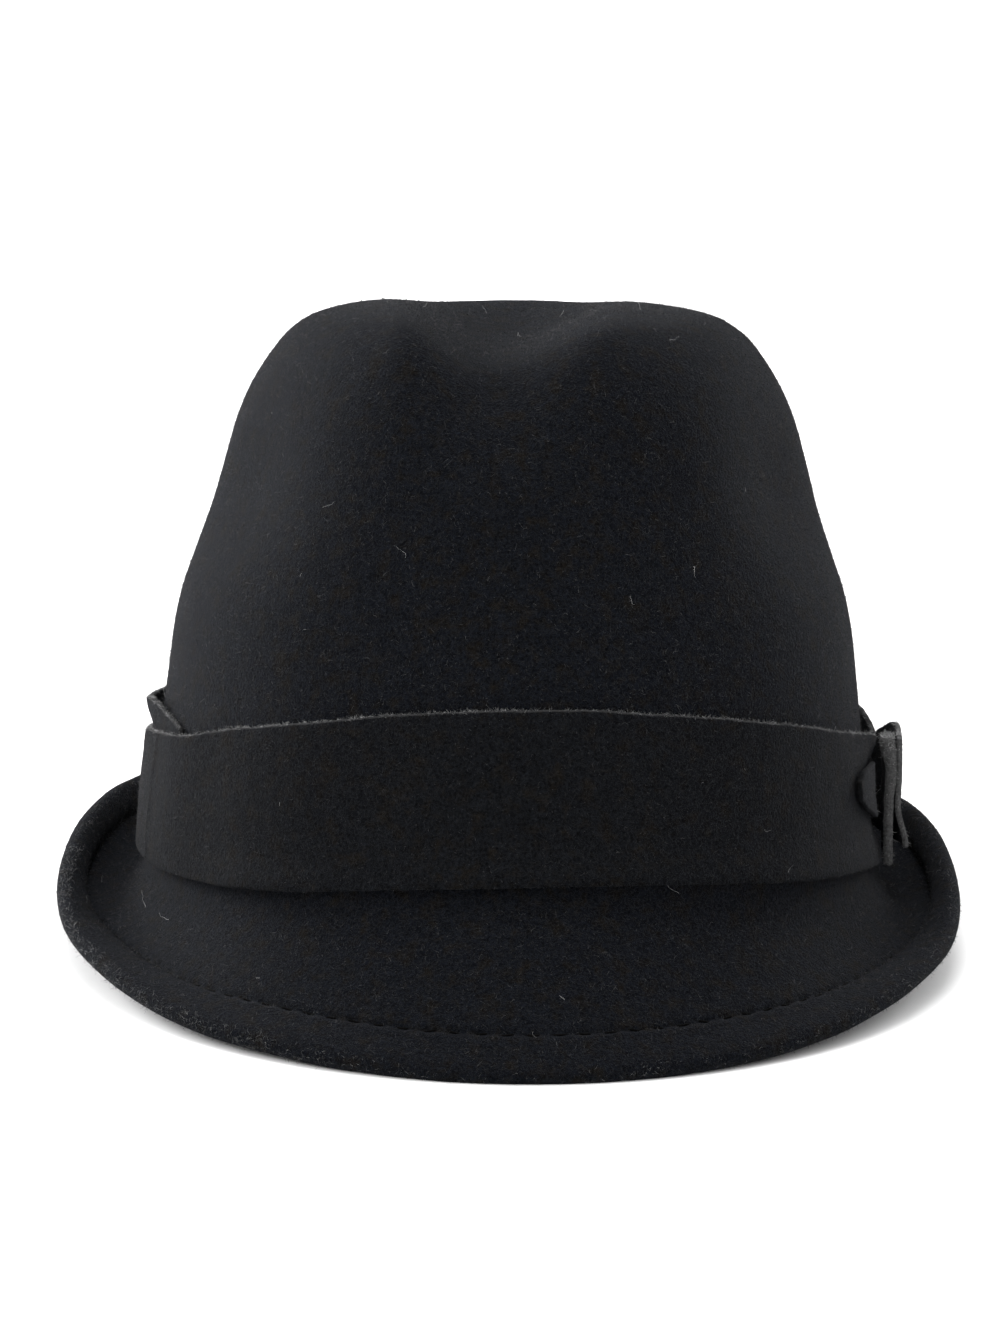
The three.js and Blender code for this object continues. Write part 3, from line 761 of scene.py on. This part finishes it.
def mix_colours(add, share, a, b):
    return add("Mix", {"Factor": share, 6: a, 7: b}, output=2, data_type="RGBA")


def grey(value, red=1.0, blue=1.0):
    return (value * red, value, value * blue, 1.0)


# Patterns of the felt: how many lumps to a metre, and how they shade its colour
SCALES = {"blotch": 260.0, "mottle": 430.0, "grain": 1500.0, "fray": 1900.0}
COARSE_STRANDS = {"scale": 620.0, "width": 0.02}
FINE_STRANDS = {"scale": 1000.0, "width": 0.03}
BLOTCH_LIMITS = (0.5, 0.68)
MOTTLE_SHADES = (0.3, 0.7, 0.75, 1.25)
GRAIN_SHADES = (0.3, 0.7, 0.25, 1.75)
RELIEF_SHARES = {"grain": 0.9, "mottle": 0.4, "strands": 0.3}
SHEEN = {"weight": 0.035, "roughness": 0.25, "tint": (0.86, 0.88, 0.98, 1.0)}
FELT_SPECULAR = 0.02
FIBRE_SPECULAR = 0.03


def felt(name, cool, warm, raw, fleck, relief):
    """Pressed felt: blotches of two shades, a mottle, single fibres and a fine grain. Cut edges are raw."""
    material, add, set_surface = shader_tools(name)
    place = add("TexCoord", {}, output=3)
    blotch = noise_node(add, place, SCALES["blotch"], 3.0, 0.6)
    mottle = noise_node(add, place, SCALES["mottle"], 3.0, 0.6)
    grain = noise_node(add, place, SCALES["grain"], 3.0, 0.65)
    colour = mix_colours(add, spread(add, blotch, *BLOTCH_LIMITS), cool, warm)
    shade = spread(add, mottle, *MOTTLE_SHADES)
    shade = math_node(add, "MULTIPLY", shade, spread(add, grain, *GRAIN_SHADES))
    colour = add("VectorMath", {0: colour, "Scale": shade}, operation="SCALE")
    coarse = threads_node(add, place, **COARSE_STRANDS)
    fine = threads_node(add, place, **FINE_STRANDS)
    strands = math_node(add, "MAXIMUM", coarse, fine)
    picked = math_node(add, "MULTIPLY", strands, math_node(add, "POWER", grain, 1.5))
    colour = mix_colours(add, picked, colour, fleck)
    bare = add("Attribute", {}, output=2, attribute_name="edge")
    frayed = math_node(add, "MULTIPLY", bare, noise_node(add, place, SCALES["fray"], 2.0, 0.7))
    # Cut edges take the raw colour: the whitish fuzz of cut felt, and on the bow's leaves also painted light
    colour = mix_colours(add, frayed, colour, raw)
    height = math_node(add, "MULTIPLY", mottle, RELIEF_SHARES["mottle"])
    height = math_node(add, "MULTIPLY_ADD", grain, RELIEF_SHARES["grain"], height)
    height = math_node(add, "MULTIPLY_ADD", strands, RELIEF_SHARES["strands"], height)
    bump = add("Bump", {"Strength": 1.0, "Distance": relief, "Height": height})
    rough = spread(add, grain, 0.0, 1.0, 0.84, 1.0)
    set_surface(Base_Color=colour, Roughness=rough, Normal=bump, Specular_IOR_Level=FELT_SPECULAR)
    set_surface(Sheen_Weight=SHEEN["weight"], Sheen_Roughness=SHEEN["roughness"], Sheen_Tint=SHEEN["tint"])
    return material


def fibre(name, dark, light, scale=900.0):
    """Loose fibres, whose shade changes from one to the next."""
    material, add, set_surface = shader_tools(name)
    place = add("TexCoord", {}, output=3)
    change = noise_node(add, place, scale, 1.0)
    colour = mix_colours(add, spread(add, change, 0.35, 0.65), dark, light)
    bump = add("Bump", {"Strength": 0.5, "Distance": 0.00002, "Height": noise_node(add, place, 9000.0)})
    rough = spread(add, change, 0.0, 1.0, 0.6, 0.9)
    set_surface(Base_Color=colour, Roughness=rough, Normal=bump, Specular_IOR_Level=FIBRE_SPECULAR)
    return material


felt_of_body = felt(
    "body_felt_black",
    cool=grey(0.0054, red=0.85, blue=1.35),
    warm=grey(0.006, red=1.15, blue=0.85),
    raw=grey(0.03),
    fleck=grey(0.02),
    relief=0.0009,
)
felt_of_band = felt(
    "band_felt_black",
    cool=grey(0.0054, red=0.9, blue=1.2),
    warm=grey(0.006, red=1.15, blue=0.85),
    raw=grey(0.06),
    fleck=grey(0.02),
    relief=0.0008,
)
felt_of_strap = felt(
    "strap_felt_black",
    cool=grey(0.006, red=0.9, blue=1.2),
    warm=grey(0.0066, red=1.15, blue=0.9),
    raw=grey(0.008),
    fleck=grey(0.02),
    relief=0.0004,
)
# The bow's raw colour is far lighter than the band's: partly the whitish fuzz of cut felt, partly painted
# light on the leaves' cut ends, which the crown shades
felt_of_bow = felt(
    "bow_felt_black",
    cool=grey(0.007, red=0.9, blue=1.2),
    warm=grey(0.0075, red=1.15, blue=0.9),
    raw=grey(0.16),
    fleck=grey(0.03),
    relief=0.0004,
)
nap_fibre = fibre("nap_fibre", grey(0.009, 0.95, 1.15), grey(0.068, 1.0, 1.02), 700.0)
halo_fibre = fibre("halo_fibre", grey(0.04), grey(0.16))
rim_fibre = fibre("rim_fibre", grey(0.04), grey(0.26))
raw_fibre = fibre("raw_fibre", grey(0.05), grey(0.4))
lint_fibre = fibre("lint_fibre", grey(0.25), grey(0.7), 300.0)
thread = fibre("seam_thread", grey(0.001), grey(0.003), 2500.0)

# The felt body, set down so that its top and its middle from front to back are those of the CAD body
skin, crown_faces, brim_faces, inner_faces = body_skin()
lean = leant(skin)
middle_y = 0.5 * (body_low.y + body_high.y) / MM
shift_y = middle_y - 0.5 * (lean[:, 1].min() + lean[:, 1].max())
rest_shift = np.array([0, shift_y, body_high.z / MM - lean[:, 2].max()])
make("body", skin, crown_faces + brim_faces + inner_faces, felt_of_body, "felt_body")

# The strips: piece, node, table, thickness, flare, mesh step, height that they stand over, seed, material
STRIPS = (
    ("band_front_felt", "band_front", FRONT_BAND, BAND_FELT, 0, BAND_STEP, None, 11.0, felt_of_band),
    ("band_rear_felt", "band_rear", REAR_BAND, BAND_FELT, 0, BAND_STEP, None, 23.0, felt_of_band),
    ("bow_strap_felt", "bow_strap", STRAP, BAND_FELT, 0, BOW_STEP, None, 37.0, felt_of_strap),
    ("bow_leaf_inner", "tab_inner", TAB_INNER, TAB_FOLDED, FLARE, BOW_STEP, TAB_FOOT, 41.0, felt_of_bow),
    ("bow_leaf_outer", "tab_outer", TAB_OUTER, BAND_FELT, 0, BOW_STEP, TAB_FOOT, 53.0, felt_of_bow),
)
strips = []
for name, node, rows, thickness, flare, step, foot, seed, material in STRIPS:
    points, faces, edge = strip_skin(rows, thickness, flare, step, foot, seed)
    make(name, points, faces, material, node, "band_felt", edge)
    strips.append((points, faces, edge, material))

# What the fibres grow on: the open felt of the crown and brim, the fold at the brim's edge, the flat and
# the cut faces of the strips, and the leaves' own cut faces. The strap's cut edges are pressed smooth.
ring_size = CROWN_SEGMENTS * BRIM_SPLIT
open_crown = [face for face in crown_faces if skin[face, 2].min() > BAND_COVERS]
open_brim = brim_faces[COVERED_ROWS * ring_size :]
fold_start = (TURN_ROWS - 1 + len(BESIDE_SEAM) + len(HEM_ROWS)) * ring_size
fold_faces = brim_faces[fold_start : fold_start + (FOLD_ROWS // 2 + 1) * ring_size]
tufted_fold = [face for face in fold_faces if skin[face[0], 0] < TUFTED_SIDE and skin[face[0], 1] < 0]
strip_points = np.concatenate([points for points, _, _, _ in strips])
starts = np.cumsum([0] + [len(points) for points, _, _, _ in strips])
flat_faces, cut_faces, leaf_faces = [], [], []
for start, (points, faces, edge, material) in zip(starts, strips):
    cut = {felt_of_strap: [], felt_of_bow: leaf_faces}.get(material, cut_faces)
    for face in faces:
        chosen = cut if edge[face].min() > 0.5 else flat_faces
        chosen.append([start + v for v in face])
leaf_tops = [face for face in leaf_faces if strip_points[face, 2].min() > TUFT_FOOT]
on_body = (skin, "body_felt")
on_strips = (strip_points, "band_felt")

# Stitches, then the fibres: piece, ground, faces, count, length, lift, bend, points, width, material
rng = np.random.default_rng(7)
make("seam_stitches", *stitches(rng), thread)
FIBRES = (
    ("nap_crown", on_body, open_crown, 40000, 1.2, 2.0, 0, 2, 0.14, nap_fibre),
    ("nap_brim", on_body, open_brim, 42000, 1.1, 2.0, 0, 2, 0.13, nap_fibre),
    ("curls", on_body, open_crown + open_brim, 5000, 2.6, 1.2, 0.4, 4, 0.045, halo_fibre),
    ("rim_curls", on_body, fold_faces, 1200, 2.0, 1.2, 0.6, 4, 0.045, rim_fibre),
    ("rim_tufts", on_body, tufted_fold, 700, 2.6, 1.6, 0.6, 5, 0.045, rim_fibre),
    ("nap_bands", on_strips, flat_faces, 28000, 1.1, 1.8, 0, 2, 0.12, nap_fibre),
    ("edge_fuzz", on_strips, cut_faces, 7000, 1.4, 1.6, 0.5, 3, 0.05, raw_fibre),
    ("leaf_fuzz", on_strips, leaf_faces, 1200, 1.4, 1.6, 0.5, 3, 0.06, raw_fibre),
    ("leaf_tufts", on_strips, leaf_tops, 360, 1.9, 1.6, 0.6, 4, 0.06, lint_fibre),
    ("lint", on_body, crown_faces + brim_faces, 130, 6.0, 0.2, 0.4, 9, 0.06, lint_fibre),
    ("lint_bands", on_strips, flat_faces, 40, 5.0, 0.2, 0.4, 9, 0.06, lint_fibre),
)
for name, (ground, slot), faces, count, length, lift, bend, rows, width, material in FIBRES:
    place, normal = scatter(ground, faces, count, rng)
    paths = hairs(place, normal, length, lift, bend, rows, rng)
    make(name, *fibres(paths, width, rng), material, slot=slot)

# The floor, the light from all around and the lamps, in metres
FLOOR_HALF = 20.0
FLOOR_SINK = 0.00005
SKY_SLOPE = (-0.45, 0, 0.9)
SKY_LIMITS = (-0.45, 0.9)
SKY_STRENGTH = (0.62, 1.3)
HAT_MIDDLE = Vector((0, 0, 0.07))


def pale_floor():
    material, add, set_surface = shader_tools("pale_floor")
    place = add("TexCoord", {}, output=3)
    cloud = noise_node(add, place, 3.0, 4.0, 0.6)
    colour = mix_colours(add, spread(add, cloud, 0.3, 0.7), grey(0.84), grey(0.87))
    bump = add("Bump", {"Strength": 0.3, "Distance": 0.0003, "Height": noise_node(add, place, 260.0, 4.0)})
    set_surface(Base_Color=colour, Normal=bump, Roughness=0.8)
    corners = [(x * FLOOR_HALF, y * FLOOR_HALF, 0) for x, y in ((-1, -1), (1, -1), (1, 1), (-1, 1))]
    mesh = bpy.data.meshes.new("floor")
    mesh.from_pydata(corners, [], [(0, 1, 2, 3)])
    mesh.materials.append(material)
    floor = bpy.data.objects.new("floor", mesh)
    floor.location.z = -FLOOR_SINK
    bpy.context.scene.collection.objects.link(floor)


def white_world():
    """White light from all around, stronger from above and from the wearer's right."""
    world = bpy.data.worlds.new("studio")
    world.use_nodes = True
    nodes, links = world.node_tree.nodes, world.node_tree.links
    background = nodes["Background"]
    direction = nodes.new("ShaderNodeTexCoord")
    slope = nodes.new("ShaderNodeVectorMath")
    slope.operation = "DOT_PRODUCT"
    slope.inputs[1].default_value = SKY_SLOPE
    strength = nodes.new("ShaderNodeMapRange")
    for name, value in zip(("From Min", "From Max", "To Min", "To Max"), SKY_LIMITS + SKY_STRENGTH):
        strength.inputs[name].default_value = value
    links.new(direction.outputs["Generated"], slope.inputs[0])
    links.new(slope.outputs["Value"], strength.inputs["Value"])
    links.new(strength.outputs[0], background.inputs["Strength"])
    background.inputs["Color"].default_value = (1.0, 1.0, 1.0, 1.0)
    bpy.context.scene.world = world


def soft_light(name, place, size, power):
    """A round lamp that is aimed at the hat."""
    data = bpy.data.lights.new(name, "AREA")
    data.shape = "DISK"
    data.size = size
    data.energy = power
    light = bpy.data.objects.new(name, data)
    light.location = place
    light.rotation_euler = (HAT_MIDDLE - Vector(place)).to_track_quat("-Z", "Y").to_euler()
    bpy.context.scene.collection.objects.link(light)


pale_floor()
white_world()
bpy.context.scene.view_settings.view_transform = "Standard"
soft_light("key", (-1.4, -1.2, 1.4), 1.2, 14)
soft_light("rim_left", (-1.3, 1.1, 0.4), 0.8, 60)
soft_light("rim_right", (1.2, 1.4, 0.4), 0.8, 22)
soft_light("overhead", (0, 0.3, 1.9), 1.2, 22)

# The camera, found from the hat's outlines in the photo: aim point, view direction and roll
VIEW_ELEVATION = math.radians(6)
VIEW_DISTANCE = 1400
VIEW_AIM = (0, 0, 39.6)
VIEW_ROLL = math.radians(1)
PHOTO_HEIGHT = 1341
FOCAL_PIXELS = 5880
SIDE_SHIFT = -2.24
SENSOR = 36
camera = bpy.data.objects.new("camera", bpy.data.cameras.new("camera"))
bpy.context.scene.collection.objects.link(camera)
bpy.context.scene.camera = camera
camera.data.sensor_width = SENSOR
camera.data.lens = FOCAL_PIXELS / PHOTO_HEIGHT * SENSOR
back = Vector(LEAN @ np.array([0, -math.cos(VIEW_ELEVATION), math.sin(VIEW_ELEVATION)]))
aim = Vector(in_place(np.array([VIEW_AIM]))[0])
turned = back.to_track_quat("Z", "Y").to_matrix() @ Matrix.Rotation(VIEW_ROLL, 3, "Z")
camera.rotation_euler = turned.to_euler()
camera.location = aim + back * VIEW_DISTANCE * MM + turned @ Vector((SIDE_SHIFT * MM, 0, 0))
